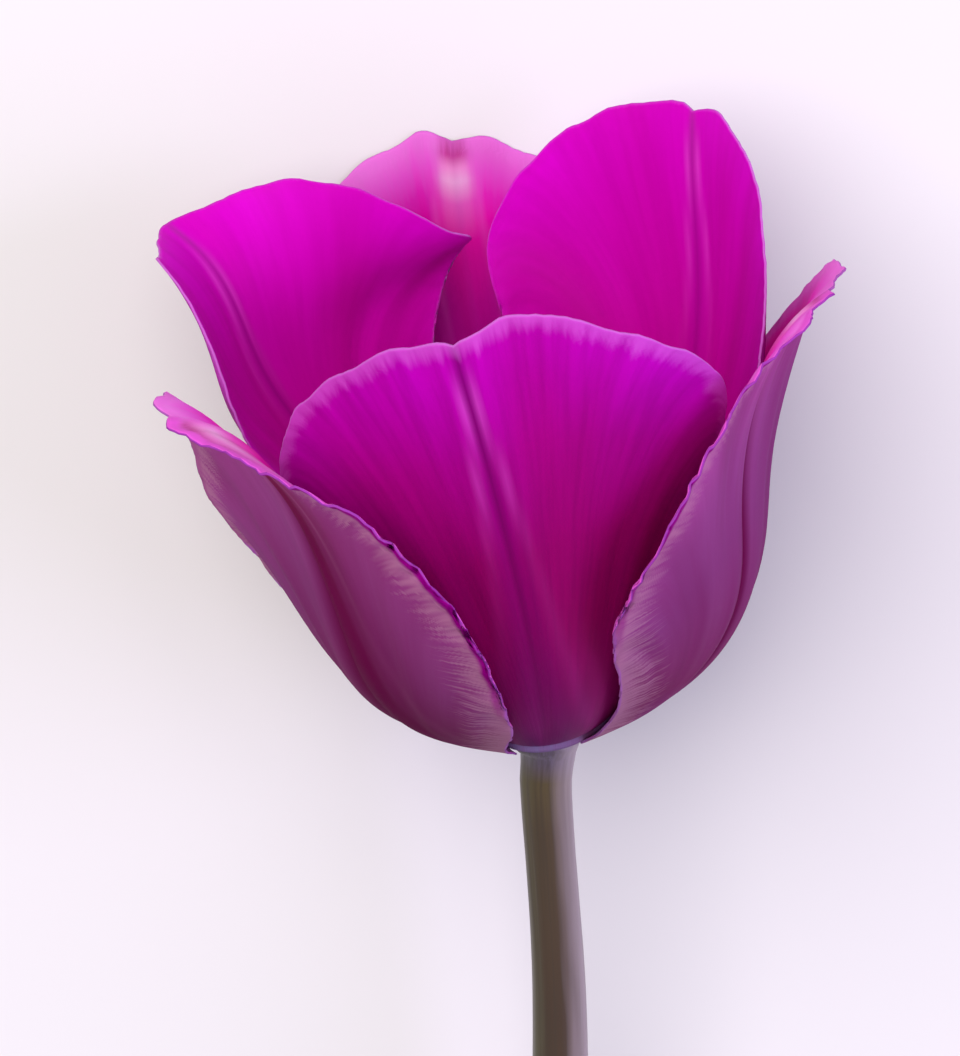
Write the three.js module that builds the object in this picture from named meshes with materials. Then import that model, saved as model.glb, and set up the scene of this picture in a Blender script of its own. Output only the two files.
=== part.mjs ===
// A cut tulip flower lying on its side: stem with receptacle, six petals in two whorls, six stamens, pistil.
// Millimetres, +Z up. The floor is z = 0, the origin is under the middle of the flower's box,
// and the stem lies along X with the flower towards +X.

import * as THREE from 'three';
import { mergeVertices } from 'three/addons/utils/BufferGeometryUtils.js';

const degrees = THREE.MathUtils.degToRad;

// How the cut flower lies. The flower group has its own frame: +Z is the flower's axis, out of the
// receptacle, -Y is the side that faces up when the flower lies, and +X is the right-hand side seen from above.
const rest = {
  receptacle: new THREE.Vector3(51.6, -2.1, 29.3), // centre of the receptacle, where the petals are attached
  lift: 10, // slope of the flower's axis above the floor
  yaw: 3.6, // turn of the flower's axis away from the stem, seen from above
  roll: 0, // turn about the flower's own axis
};

const stem = {
  length: 180, // from the receptacle to the cut end
  neck: 4, // length under the receptacle, before the stem turns into its own line
  aside: 0.8, // how far the stem's line passes beside the receptacle's centre
  bow: 4, // sideways bow of the stem halfway along
  segments: 24,
};

// Radius of stem and receptacle, as pairs of distance below the petals' level and radius.
const stemProfile = [
  [-3.0, 0], [-3.0, 3.0], [-2.7, 3.5], [-1.7, 3.6], [-1.4, 3.95], [-0.8, 4.0], [-0.3, 3.7], [0.4, 3.35], [2, 3.2],
  [6, 3.1], [14, 3.05], [22, 3.1], [34, 3.3], [48, 3.5], [64, 3.6], [80, 3.7], [96, 3.75], [112, 3.8], [128, 3.85],
  [144, 3.9], [160, 3.95], [171, 4.0], [179.2, 4.0], [180, 3.7], [180, 0],
];

const whorls = {
  outer: { footReach: 4.8, footHeight: 1.0 },
  inner: { footReach: 4.2, footHeight: 2.6 },
};

// Thickness of a petal at its foot, over its middle and at its margin.
const thickness = { foot: 1.1, middle: 0.75, margin: 0.4 };

// Each petal is swept along its midrib. Lists run from foot to tip in equal steps; angles are in degrees.
// rise: slope of the midrib above the flower's base plane; sway: its slope sideways; twist: turn about the midrib;
// fold: crease at the midrib. clockwise and counter are the two halves, seen from the tip:
// width: from midrib to margin, mm; curl: turn towards the flower's axis across the half;
// flare: turn back outwards in the marginal band; shoulder: where the margin leaves the side for the tip,
// as a share of the length; round: fullness of the tip's outline; lobes: bumps of the tip beside the midrib.
const petals = [
  {
    name: 'inner_petal_front', whorl: 'inner', azimuth: 265.5, length: 77,
    rise: [22, 41, 57, 68, 78, 86.5], sway: [6, -1, -8], twist: [0.5, 5.5, -10.5],
    fold: [0.5, 5, 4.5, 5],
    clockwise: {
      width: [4.7, 13.5, 21.5, 27.5, 31.5, 33.5], curl: [40, 44.5, 46, 44.5], flare: [0, 0, 1.5, 4],
      shoulder: 0.58, round: 2.3,
    },
    counter: {
      width: [7.6, 15.5, 22, 28, 32, 31.5], curl: [43.5, 46.5, 44.5, 36], flare: [0, 0, -5.5, 6],
      shoulder: 0.63, round: 2.3,
    },
    lobes: [[-0.2, 0.14, 0.01], [0.28, 0.22, 0.03]],
  },
  {
    name: 'inner_petal_left', whorl: 'inner', azimuth: 146.5, length: 75.5,
    rise: [41.5, 57.5, 63, 62.5, 79.5, 28.5], sway: [-14.5, 13, 0], twist: [2.5, 7, -8.5],
    fold: [4.5, -2, 10, 20],
    clockwise: {
      width: [4.3, 11, 17, 21.5, 32, 32, 31], curl: [34, 32, 50.5, 54.5], flare: [-0.5, 4.5, -2, 1.5],
      shoulder: 0.67, round: 1.15,
    },
    counter: {
      width: [4.2, 11.5, 18.5, 23.5, 27, 29.5, 30.5], curl: [43.5, 40, 36, 52], flare: [0, 2, 7.5, 10.5],
      shoulder: 0.6, round: 1.85,
    },
    lobes: [[-0.2, 0.14, -0.01], [0.28, 0.2, -0.03]],
  },
  {
    name: 'inner_petal_right', whorl: 'inner', azimuth: 34, length: 78,
    rise: [32, 50, 64.5, 74.5, 87, 83], sway: [2, -0.5, -1.5], twist: [6.5, 4.5, 6.5],
    fold: [2.5, 3, 7, 5.5],
    clockwise: {
      width: [4.5, 14, 21.5, 27.5, 30, 30.5], curl: [40.5, 44, 46, 47], flare: [0, 0, 1, 5],
      shoulder: 0.62, round: 1.55,
    },
    counter: {
      width: [4.5, 12.5, 20, 25, 31.5, 31], curl: [39.5, 44.5, 51, 55.5], flare: [0, 0, 5, 3.5],
      shoulder: 0.55, round: 2.35,
    },
    lobes: [[-0.2, 0.14, 0.01], [0.28, 0.2, 0]],
  },
  {
    name: 'outer_petal_left', whorl: 'outer', azimuth: 210.5, length: 79.5,
    rise: [31.5, 32.5, 53, 71.5, 74.5, 56, 26], sway: [0, 22, 4, 0], twist: [-1.5, -4, -13.5],
    fold: [-1, 2.5, -6, -1.5],
    clockwise: {
      width: [4.5, 14, 22, 27.5, 27.5, 24.5], curl: [32.5, 32, 15.5, 4.5, -5], flare: [-1, 19.5, 8, 5.5],
      shoulder: 0.52, round: 1.7,
    },
    counter: {
      width: [1, 13, 20, 24.5, 24, 24.5], curl: [12, 31, 42, 33.5, 23.5], flare: [2, 10.5, -4, 13.5],
      shoulder: 0.59, round: 1.75,
    },
    lobes: [[-0.14, 0.1, 0.02], [0.14, 0.1, 0.02]],
  },
  {
    name: 'outer_petal_right', whorl: 'outer', azimuth: 336, length: 76,
    rise: [22, 34.5, 58.5, 81.5, 73.5, 57.5, 35.5], sway: [5.5, -4.5, -10, -2.5], twist: [-11.5, -3, 2],
    fold: [-1, 0, -9, -1.5],
    clockwise: {
      width: [1.4, 14, 22.5, 27, 26, 24], curl: [9, 24, 39.5, 19.5, 5.5], flare: [1, 6.5, -0.5, 8.5],
      shoulder: 0.54, round: 1.65,
    },
    counter: {
      width: [4.6, 16, 25.5, 29, 29, 26], curl: [30, 49, 62.5, 37.5, 21], flare: [1, 2.5, 1, 8.5],
      shoulder: 0.52, round: 2.05,
    },
    lobes: [[0.16, 0.1, -0.01], [-0.14, 0.1, -0.01]],
  },
  {
    name: 'outer_petal_back', whorl: 'outer', azimuth: 90, length: 79,
    rise: [14, 31, 51, 71, 80, 80, 80], sway: [0, 0.5, 3.5, -4], twist: [0, 0, 0],
    fold: [0, 0, 0, 0],
    clockwise: {
      width: [4.5, 14, 22, 26, 27, 26], curl: [34, 34, 18, 3, 0], flare: [0, 0, 0, 0],
      shoulder: 0.52, round: 2,
    },
    counter: {
      width: [4.5, 14, 22, 25, 27, 27.5], curl: [34, 34, 18, 3, 0], flare: [0, 0, 0, 0],
      shoulder: 0.43, round: 2.65,
    },
    lobes: [[-0.14, 0.1, 0.005], [0.14, 0.1, 0.015]],
  },
];

const petalMesh = { across: 14, along: 16, flareStart: 0.7, midribSteps: 160, turnSteps: 16 };

const stamens = {
  reach: 2.85, height: 3.3, // where a filament stands on the receptacle
  firstAzimuth: 30, spacing: 60,
  lean: 10, // outward lean from the flower's axis
  filament: [[0, 0], [0, 0.65], [1.5, 0.7], [5, 0.6], [8.6, 0.4], [9, 0.3], [9, 0]],
  filamentSegments: 8,
  anther: [[0, 0], [0.3, 0.7], [2, 1.3], [5, 1.5], [9, 1.4], [12, 1.1], [13.2, 0.6], [13.5, 0]],
  antherSegments: 12,
  groove: 0.14, // depth of the groove between an anther's two sacs, as a share of its radius
  gap: 0.3,
};

const pistil = {
  height: 3.3,
  profile: [
    [0, 0], [0, 1.5], [1.5, 1.8], [4, 2.4], [7, 2.9], [11, 2.9], [14.5, 2.5], [15.6, 2.4], [16.4, 3.3], [17.6, 3.9],
    [18.8, 3.4], [19.3, 1.8], [18.9, 0],
  ],
  segments: 24,
  ovaryCorner: 0.08, // three rounded corners of the ovary, as a share of its radius
  stigmaLobe: 0.24, // three lobes of the stigma
  stigmaStart: 15,
};

const finishes = {
  innerPetal: { color: 0xb8009a, roughness: 0.5, metalness: 0 },
  outerPetal: { color: 0x96407f, roughness: 0.6, metalness: 0 },
  stem: { color: 0x8c6a6a, roughness: 0.55, metalness: 0 },
  filament: { color: 0x3b2450, roughness: 0.6, metalness: 0 },
  anther: { color: 0x241626, roughness: 0.85, metalness: 0 },
  pistil: { color: 0xb9c489, roughness: 0.5, metalness: 0 },
};

function piece(name, geometry, finish) {
  geometry.computeVertexNormals();
  const mesh = new THREE.Mesh(geometry, new THREE.MeshStandardMaterial(finish));
  mesh.name = name;
  return mesh;
}

function closed(geometry) {
  geometry.deleteAttribute('normal');
  geometry.deleteAttribute('uv');
  return mergeVertices(geometry);
}

// Smooth curve through equally spaced values, for a share between 0 and 1.
function through(values, share) {
  const spans = values.length - 1;
  const place = THREE.MathUtils.clamp(share, 0, 1) * spans;
  const i = Math.min(Math.floor(place), spans - 1);
  const f = place - i;
  const b = values[i];
  const c = values[i + 1];
  const a = i === 0 ? 2 * b - c : values[i - 1];
  const d = i + 2 > spans ? 2 * c - b : values[i + 2];
  const square = (2 * a - 5 * b + 4 * c - d) * f * f;
  const cube = (3 * b - a - 3 * c + d) * f * f * f;
  return 0.5 * (2 * b + (c - a) * f + square + cube);
}

// Stations along a petal's midrib, each with its place and the three directions there.
function midribOf(petal) {
  const azimuth = degrees(petal.azimuth);
  const out = new THREE.Vector3(Math.cos(azimuth), Math.sin(azimuth), 0);
  const side = new THREE.Vector3(-Math.sin(azimuth), Math.cos(azimuth), 0);
  const up = new THREE.Vector3(0, 0, 1);
  const { footReach, footHeight } = whorls[petal.whorl];
  const place = out.clone().multiplyScalar(footReach).addScaledVector(up, footHeight);
  const stations = [];
  for (let i = 0; i <= petalMesh.midribSteps; i += 1) {
    const v = i / petalMesh.midribSteps;
    const rise = degrees(through(petal.rise, v));
    const sway = degrees(through(petal.sway, v));
    const forward = out.clone().multiplyScalar(Math.cos(rise) * Math.cos(sway));
    forward.addScaledVector(side, Math.sin(sway));
    forward.addScaledVector(up, Math.sin(rise) * Math.cos(sway));
    if (i > 0) {
      const step = forward.clone().add(stations[i - 1].forward);
      place.addScaledVector(step, petal.length / petalMesh.midribSteps / 2);
    }
    const level = side.clone().addScaledVector(forward, -side.dot(forward)).normalize();
    const twist = degrees(through(petal.twist, v));
    const across = level.clone().applyAxisAngle(forward, twist);
    const inward = forward.clone().cross(across);
    stations.push({ place: place.clone(), forward, across, inward });
  }
  return stations;
}

function atStation(stations, v, key) {
  const place = THREE.MathUtils.clamp(v, 0, 1) * (stations.length - 1);
  const i = Math.min(Math.floor(place), stations.length - 2);
  return stations[i][key].clone().lerp(stations[i + 1][key], place - i);
}

// Share of the midrib's length that a petal reaches at u, which runs from -1 to 1 across it.
function tipOutline(petal, u) {
  const { shoulder, round } = u < 0 ? petal.clockwise : petal.counter;
  let reach = shoulder + (1 - shoulder) * Math.sqrt(Math.max(1 - Math.abs(u) ** round, 0));
  for (const [middle, spread, rise] of petal.lobes) {
    reach += rise * Math.exp(-(((u - middle) / spread) ** 2));
  }
  return reach;
}

// Point of a petal at u across and t along, raised above the middle of its thickness towards its back.
function petalPoint(petal, stations, u, t, backward) {
  const v = t * tipOutline(petal, u);
  const half = u < 0 ? petal.clockwise : petal.counter;
  const width = through(half.width, v);
  const curl = degrees(through(half.curl, v));
  const flare = degrees(through(half.flare, v));
  const fold = degrees(through(petal.fold, v));
  const edge = Math.abs(u);
  const turnAt = (x) => fold + curl * x - flare * THREE.MathUtils.smoothstep(x, petalMesh.flareStart, 1);
  let sideways = 0;
  let inwards = 0;
  for (let i = 0; i < petalMesh.turnSteps; i += 1) {
    const turn = turnAt(edge * (i + 0.5) / petalMesh.turnSteps);
    sideways += Math.cos(turn) * edge / petalMesh.turnSteps;
    inwards += Math.sin(turn) * edge / petalMesh.turnSteps;
  }
  const hand = u < 0 ? -1 : 1;
  const across = atStation(stations, v, 'across');
  const inward = atStation(stations, v, 'inward');
  const point = atStation(stations, v, 'place');
  point.addScaledVector(atStation(stations, v, 'forward'), Math.max(v - 1, 0) * petal.length);
  point.addScaledVector(across, hand * sideways * width);
  point.addScaledVector(inward, inwards * width);
  const turn = turnAt(edge);
  point.addScaledVector(across, backward * hand * Math.sin(turn));
  point.addScaledVector(inward, -backward * Math.cos(turn));
  return point;
}

function petalThickness(u, t) {
  const body = THREE.MathUtils.lerp(thickness.foot, thickness.middle, THREE.MathUtils.smoothstep(t, 0, 0.3));
  const rim = THREE.MathUtils.smoothstep(Math.max(Math.abs(u), t), 0.6, 1);
  return THREE.MathUtils.lerp(body, thickness.margin, rim);
}

// A petal is a flat block, bent onto the petal's surface: x runs across, y along and z through its thickness.
function petalGeometry(petal) {
  const geometry = closed(new THREE.BoxGeometry(2, 1, 1, petalMesh.across, petalMesh.along, 1));
  const stations = midribOf(petal);
  const position = geometry.getAttribute('position');
  for (let i = 0; i < position.count; i += 1) {
    const u = Math.sin(position.getX(i) * Math.PI / 2);
    const t = position.getY(i) + 0.5;
    const point = petalPoint(petal, stations, u, t, position.getZ(i) * petalThickness(u, t));
    position.setXYZ(i, point.x, point.y, point.z);
  }
  return geometry;
}

// A body turned from a profile of [height, radius] pairs, with its section bulging in equal lobes.
function turnedGeometry(profile, segments, lobeCount = 0, lobeDepth = () => 0) {
  const points = profile.map(([height, radius]) => new THREE.Vector2(radius, height));
  const geometry = closed(new THREE.LatheGeometry(points, segments));
  geometry.rotateX(Math.PI / 2);
  const position = geometry.getAttribute('position');
  for (let i = 0; i < position.count; i += 1) {
    const angle = Math.atan2(position.getY(i), position.getX(i));
    const scale = 1 + lobeDepth(position.getZ(i)) * Math.cos(lobeCount * angle);
    position.setXY(i, position.getX(i) * scale, position.getY(i) * scale);
  }
  return geometry;
}

function flowerDirection() {
  const lift = degrees(rest.lift);
  const yaw = degrees(rest.yaw);
  return new THREE.Vector3(Math.cos(lift) * Math.cos(yaw), Math.cos(lift) * Math.sin(yaw), Math.sin(lift));
}

// Middle line of the stem, from the receptacle's top down to the cut end on the floor.
function stemLine() {
  const down = flowerDirection().negate();
  const topLift = -stemProfile[0][0];
  const endRadius = stemProfile[stemProfile.length - 3][1];
  const start = rest.receptacle.clone().addScaledVector(down, -topLift);
  const neck = rest.receptacle.clone().addScaledVector(down, stem.neck);
  neck.y += stem.aside;
  const drop = neck.z - endRadius;
  const run = Math.sqrt((stem.length - stem.neck) ** 2 - drop ** 2);
  const end = new THREE.Vector3(neck.x - run, neck.y, endRadius);
  const between = (share) => {
    const point = neck.clone().lerp(end, share);
    point.y += stem.bow * Math.sin(Math.PI * share) ** 4;
    return point;
  };
  return new THREE.CatmullRomCurve3([
    start, rest.receptacle.clone(), rest.receptacle.clone().lerp(neck, 0.5), between(0), between(0.15), between(0.3), between(0.5), between(0.7), between(0.85), end,
  ]);
}

function stemGeometry() {
  const profile = stemProfile.map(([below, radius]) => [-below, radius]).reverse();
  const geometry = turnedGeometry(profile, stem.segments);
  const line = stemLine();
  const top = -stemProfile[0][0];
  const span = top + stem.length;
  const position = geometry.getAttribute('position');
  const upright = new THREE.Vector3(0, 0, 1);
  for (let i = 0; i < position.count; i += 1) {
    const share = (top - position.getZ(i)) / span;
    const back = line.getTangentAt(share).negate();
    const sideways = upright.clone().cross(back).normalize();
    const above = back.clone().cross(sideways);
    const point = line.getPointAt(share);
    point.addScaledVector(above, -position.getX(i)).addScaledVector(sideways, position.getY(i));
    position.setXYZ(i, point.x, point.y, point.z);
  }
  return geometry;
}

// A group that stands on the receptacle and leans outwards like a filament.
function stamenGroup(number) {
  const group = new THREE.Group();
  const azimuth = degrees(stamens.firstAzimuth + stamens.spacing * (number - 1));
  group.rotation.order = 'ZYX';
  group.rotation.set(0, degrees(stamens.lean), azimuth);
  group.position.set(Math.cos(azimuth) * stamens.reach, Math.sin(azimuth) * stamens.reach, stamens.height);
  const filament = turnedGeometry(stamens.filament, stamens.filamentSegments);
  group.add(piece(`filament_${number}`, filament, finishes.filament));
  const groove = () => stamens.groove;
  const anther = piece(`anther_${number}`, turnedGeometry(stamens.anther, stamens.antherSegments, 2, groove), finishes.anther);
  const filamentTop = stamens.filament[stamens.filament.length - 1][0];
  anther.position.z = filamentTop + stamens.gap;
  anther.rotation.z = Math.PI / 2;
  group.add(anther);
  return group;
}

function pistilMesh() {
  const lobeDepth = (height) => (height > pistil.stigmaStart ? pistil.stigmaLobe : pistil.ovaryCorner);
  const mesh = piece('pistil', turnedGeometry(pistil.profile, pistil.segments, 3, lobeDepth), finishes.pistil);
  mesh.position.z = pistil.height;
  return mesh;
}

const flower = new THREE.Group();
for (const petal of petals) {
  const finish = petal.whorl === 'inner' ? finishes.innerPetal : finishes.outerPetal;
  flower.add(piece(petal.name, petalGeometry(petal), finish));
}
const stamenCount = 6;
for (let number = 1; number <= stamenCount; number += 1) {
  flower.add(stamenGroup(number));
}
flower.add(pistilMesh());
flower.rotation.z = degrees(rest.roll);

// Lays the flower's own frame down: its axis along the flower's direction, its -Y side up.
const lying = new THREE.Group();
const axis = flowerDirection();
const across = new THREE.Vector3(0, 0, 1).cross(axis).normalize();
const lyingFrame = new THREE.Matrix4().makeBasis(across.clone().negate(), across.clone().cross(axis), axis);
lying.quaternion.setFromRotationMatrix(lyingFrame);
lying.position.copy(rest.receptacle);
lying.add(flower);

const tulip = new THREE.Group();
tulip.add(piece('stem', stemGeometry(), finishes.stem));
tulip.add(lying);

export default tulip;
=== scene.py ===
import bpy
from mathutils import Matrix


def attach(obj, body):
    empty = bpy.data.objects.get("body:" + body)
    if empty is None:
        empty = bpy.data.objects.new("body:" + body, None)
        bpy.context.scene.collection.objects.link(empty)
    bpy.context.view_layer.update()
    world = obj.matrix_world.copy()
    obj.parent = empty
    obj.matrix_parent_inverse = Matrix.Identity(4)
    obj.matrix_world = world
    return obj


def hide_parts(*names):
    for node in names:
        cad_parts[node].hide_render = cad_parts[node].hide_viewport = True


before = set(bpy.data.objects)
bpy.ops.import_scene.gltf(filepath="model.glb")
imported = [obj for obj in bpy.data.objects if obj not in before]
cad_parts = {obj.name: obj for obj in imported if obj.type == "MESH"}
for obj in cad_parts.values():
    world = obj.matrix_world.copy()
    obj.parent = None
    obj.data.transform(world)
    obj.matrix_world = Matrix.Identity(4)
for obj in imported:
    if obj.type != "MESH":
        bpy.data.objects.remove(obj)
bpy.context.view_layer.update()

import math

import bpy
import numpy as np
from mathutils import Matrix, Vector

print("frame loaded")

mm = 0.001

# How the cut flower lies. In the flower's own frame +Z is its axis, -Y the side that faces up
# and +X the right-hand side.
flowerPose = {
    "receptacle": (51.6, -2.1, 29.3),  # mm, where the petals are attached
    "lift": 10,  # degrees, slope of the axis above the floor
    "yaw": 3.6,  # degrees, turn of the axis away from the stem
}


def axisOf(pose):
    lift, yaw = math.radians(pose["lift"]), math.radians(pose["yaw"])
    return Vector((math.cos(lift) * math.cos(yaw), math.cos(lift) * math.sin(yaw), math.sin(lift)))


def flowerMatrix(pose):
    axis = axisOf(pose)
    across = Vector((0, 0, 1)).cross(axis).normalized()
    matrix = Matrix((-across, across.cross(axis), axis)).transposed().to_4x4()
    matrix.translation = Vector(pose["receptacle"]) * mm
    return matrix


flowerToWorld = flowerMatrix(flowerPose)


# Camera

view = {
    "distance": 700,  # mm from the lens to the receptacle, along the view
    "elevation": 20.5,  # degrees towards the open end of the cup
    "lean": 8,  # degrees that the flower leans to the left in the picture
    "pixel": 0.12,  # mm at the receptacle to a pixel of the picture
    "picture": (960, 1056),
    "receptacleAt": (548, 748),  # pixel
}


def makeCamera(v):
    elevation, lean = math.radians(v["elevation"]), math.radians(v["lean"])
    level = Vector((1, 0, 0))
    rising = Vector((0, math.sin(elevation), math.cos(elevation)))
    away = Vector((0, math.cos(elevation), -math.sin(elevation)))
    right = level * math.cos(lean) - rising * math.sin(lean)
    up = level * math.sin(lean) + rising * math.cos(lean)
    wide, high = v["picture"]
    toRight = (v["receptacleAt"][0] - wide / 2) * v["pixel"]
    toTop = (high / 2 - v["receptacleAt"][1]) * v["pixel"]
    place = (right * -toRight - up * toTop - away * v["distance"]) * mm
    matrix = Matrix((right, up, -away)).transposed().to_4x4()
    matrix.translation = place
    bpy.ops.object.camera_add()
    camera = bpy.context.active_object
    camera.name = "camera"
    camera.data.lens = camera.data.sensor_width * v["distance"] / v["pixel"] / high
    camera.data.clip_start = 0.05
    camera.data.clip_end = 20
    camera.matrix_world = flowerToWorld @ matrix
    bpy.context.scene.camera = camera


makeCamera(view)
# keeps the magenta as strong as it is in the picture
bpy.context.scene.view_settings.view_transform = "Standard"
print("camera placed")


# Small helpers

def hexColor(text):
    channels = [int(text[i:i + 2], 16) / 255 for i in (1, 3, 5)]
    linear = [c / 12.92 if c <= 0.04045 else ((c + 0.055) / 1.055) ** 2.4 for c in channels]
    return (*linear, 1)


def addNode(tree, kind, inputs=None, **settings):
    node = tree.nodes.new(kind)
    for name, value in settings.items():
        setattr(node, name, value)
    for name, value in (inputs or {}).items():
        socket = node.inputs[name]
        if isinstance(value, bpy.types.NodeSocket):
            tree.links.new(value, socket)
        else:
            socket.default_value = value
    return node


def newMaterial(name):
    material = bpy.data.materials.new(name)
    material.use_nodes = True
    material.node_tree.nodes.clear()
    return material, material.node_tree


def rampStops(node, stops):
    elements = node.color_ramp.elements
    while len(elements) > 1:
        elements.remove(elements[-1])
    for i, (place, color) in enumerate(stops):
        stop = elements[0] if i == 0 else elements.new(place)
        stop.position = place
        stop.color = hexColor(color)
    return node.outputs[0]


def streaks(tree, vector, cells, detail):  # noise drawn out along a piece, by its cells to a unit each way
    drawnOut = addNode(tree, "ShaderNodeMapping", {"Vector": vector, "Scale": cells}).outputs[0]
    return addNode(tree, "ShaderNodeTexNoise", {"Vector": drawnOut, "Scale": 1, "Detail": detail}).outputs[0]


def layOver(tree, color, layers):  # each tone covers its share where its pattern has gone from low to high
    for pattern, low, high, share, tone in layers:
        factor = addNode(tree, "ShaderNodeMapRange", {
            "Value": pattern, "From Min": low, "From Max": high, "To Max": share})
        mixed = addNode(tree, "ShaderNodeMix", {"Factor": factor.outputs[0], "A": color, "B": hexColor(tone)},
                        data_type="RGBA")
        color = mixed.outputs["Result"]
    return color


def smoothStep(x, start, end):
    s = np.clip((x - start) / (end - start), 0, 1)
    return s * s * (3 - 2 * s)


def finishPiece(piece, nodes):
    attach(piece, "root")
    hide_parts(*nodes)


# Materials of the petals

# The dark violet blotch at the foot of every upper skin, with its pale border, and the midrib's tones there
blotch = [(0, "#3A2068"), (0.1, "#35205E"), (0.16, "#D9C4E4"), (0.2, "#C890D0")]
blotchRib = [(0, "#30205C"), (0.11, "#35205E"), (0.16, "#D0B8DC"), (0.21, "#B84CA8")]

# tones and rib run from foot to tip; a share is how much of its tone a detail takes on
petalFinish = {
    "veinScale": 58,  # veins to the half width: about 0.7 mm apart, the finest drawn coarser than life
    "veinBreaks": 4,  # how often a vein changes from foot to tip
    "veinNoise": (0.4, 0.66),  # from no vein to a full one
    "patchVeins": 9,  # veins to a patch
    "patchBreaks": 1.5,
    "patchNoise": (0.36, 0.68),
    "patchShare": 0.45,
    "borderReach": 0.06,  # of the length, how far a tone's border is drawn out along the veins
    "toothWidth": 0.4,  # mm, teeth of the pale margin
    "toothCells": 0.14,  # cells of the pattern to a mm inwards, so that a tooth runs in about 7 mm
    "toothNoise": (0.32, 0.68),
    "toothReach": (-0.4, 0.35),  # of the rim's width: a tooth runs further in, a gap ends earlier
    "edgeRange": (0.05, 0.28),  # mm from the margin over which its light edge ends
    "grain": 0.35,  # mm, cells of the skin, drawn coarser than life
    "grainHeight": 0.012,  # mm
    "innerFace": {
        "tones": blotch + [(0.28, "#D80098"), (0.5, "#E000AC"), (0.7, "#E800C8"), (1, "#F000E4")],
        "deep": "#C80098", "vein": "#C00090", "veinShare": 0.14, "veinHeight": 0.035, "veinTeeth": 0,
        # the midrib's pale tones near the tip and the ridges beside it are a painted highlight; the dark line
        # along its middle is painted shade in its crease
        "rib": blotchRib + [(0.28, "#A0007C"), (0.6, "#A80094"), (0.85, "#D020C0"), (1, "#F060E0")],
        "ribShare": 0.3,
        "ridgeHighlight": "#F858E8", "ridgeHighlightShare": 0.5, "ribCreaseShade": "#980080", "creaseShadeShare": 0.5,
        "rim": "#E85CDC", "rimWidth": 0.4, "rimShare": 0.3, "frill": "#E010C4",
        "edge": "#DC50D4", "edgeShare": 0.4,
        "through": 0.46, "rough": 0.5, "specular": 0.06, "sheen": 0.02, "sheenTint": "#FF9CF4",
    },
    "innerBack": {
        "tones": [(0, "#9078A8"), (0.012, "#744888"), (0.035, "#601C5C"), (0.09, "#680050"), (0.2, "#7C0058"),
                  (0.45, "#980060"), (0.62, "#980068"), (0.8, "#AC0090"), (1, "#C800C8")],
        "deep": "#A80074", "vein": "#7C0058", "veinShare": 0.3, "veinHeight": 0.035, "veinTeeth": 0.8,
        # the ridges beside the midrib are a painted highlight and the dark line along its middle is painted
        # shade in its groove
        "rib": [(0, "#9080B4"), (0.03, "#682868"), (0.3, "#74006C"), (0.75, "#90007C"), (1, "#900080")],
        "ribShare": 0.42,
        "ridgeHighlight": "#E058D4", "ridgeHighlightShare": 0.45, "ribCreaseShade": "#50003C", "creaseShadeShare": 0.65,
        "rim": "#E07CE4", "rimWidth": 2.4, "rimShare": 0.42, "frill": "#C428BC",
        "edge": "#D488DC", "edgeShare": 0.45,
        "through": 0.34, "rough": 0.58, "specular": 0.04, "sheen": 0.01, "sheenTint": "#F0A0FF",
    },
    "outerFace": {
        # near the tip the hot pink and pale pink are partly the skin's own paler colour and partly a painted
        # glow of light coming through
        "tones": blotch + [
            (0.28, "#900078"), (0.6, "#A00078"), (0.74, "#B80090"), (0.82, "#E000A0"), (0.87, "#FC00B8"),
            (0.91, "#F830CC"), (0.95, "#F868E4"), (1, "#FC98F4")],
        "deep": "#D000A4", "vein": "#C81CA8", "veinShare": 0.15, "veinHeight": 0.03, "veinTeeth": 0,
        # the midrib's whitish streak near the tip and its pale ridges are a painted highlight and its thin
        # line painted shade; the dark red at the very tip is the skin's own colour
        "rib": blotchRib + [
            (0.28, "#90007C"), (0.7, "#B00080"), (0.84, "#F010A8"), (0.9, "#F478D0"), (0.935, "#FFD8F4"),
            (0.955, "#FFB0E0"), (0.975, "#B82070"), (1, "#901048")],
        "ribShare": 0.75,
        "ridgeHighlight": "#F890E8", "ridgeHighlightShare": 0.15, "ribCreaseShade": "#B020A0", "creaseShadeShare": 0.15,
        "rim": "#FA80E8", "rimWidth": 2, "rimShare": 0.35, "frill": "#F060DC",
        "edge": "#E870DC", "edgeShare": 0.3,
        "through": 0.36, "rough": 0.5, "specular": 0.04, "sheen": 0.02, "sheenTint": "#FFC0F6",
    },
    "outerBack": {
        "tones": [(0, "#B898C8"), (0.03, "#A070A8"), (0.08, "#904C8C"), (0.25, "#8C386C"), (0.55, "#984488"),
                  (0.8, "#B050A0"), (1, "#BC58B0")],
        "deep": "#781858", "vein": "#8C2868", "veinShare": 0.14, "veinHeight": 0.015, "veinTeeth": 0,
        # on the left outer petal the rib band spreads to one side as painted shade beside the keel; the pale
        # ridge is a painted highlight and the dark line painted shade in the groove
        "rib": [(0, "#883070"), (0.3, "#6C0048"), (0.7, "#78004C"), (1, "#980858")], "ribShare": 1.17,
        "ridgeHighlight": "#C878B0", "ridgeHighlightShare": 0.4, "ribCreaseShade": "#640038", "creaseShadeShare": 0.3,
        # the broad pale rim along the margins is partly the margin's own paler tone and partly a painted
        # satin highlight
        "rim": "#D098B4", "rimWidth": 6, "rimShare": 0.55, "frill": "#A0008C",
        "edge": "#B060D0", "edgeShare": 0.5,
        "through": 0.36, "rough": 0.55, "specular": 0.01, "sheen": 0, "sheenTint": "#E090F0",
    },
}


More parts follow.
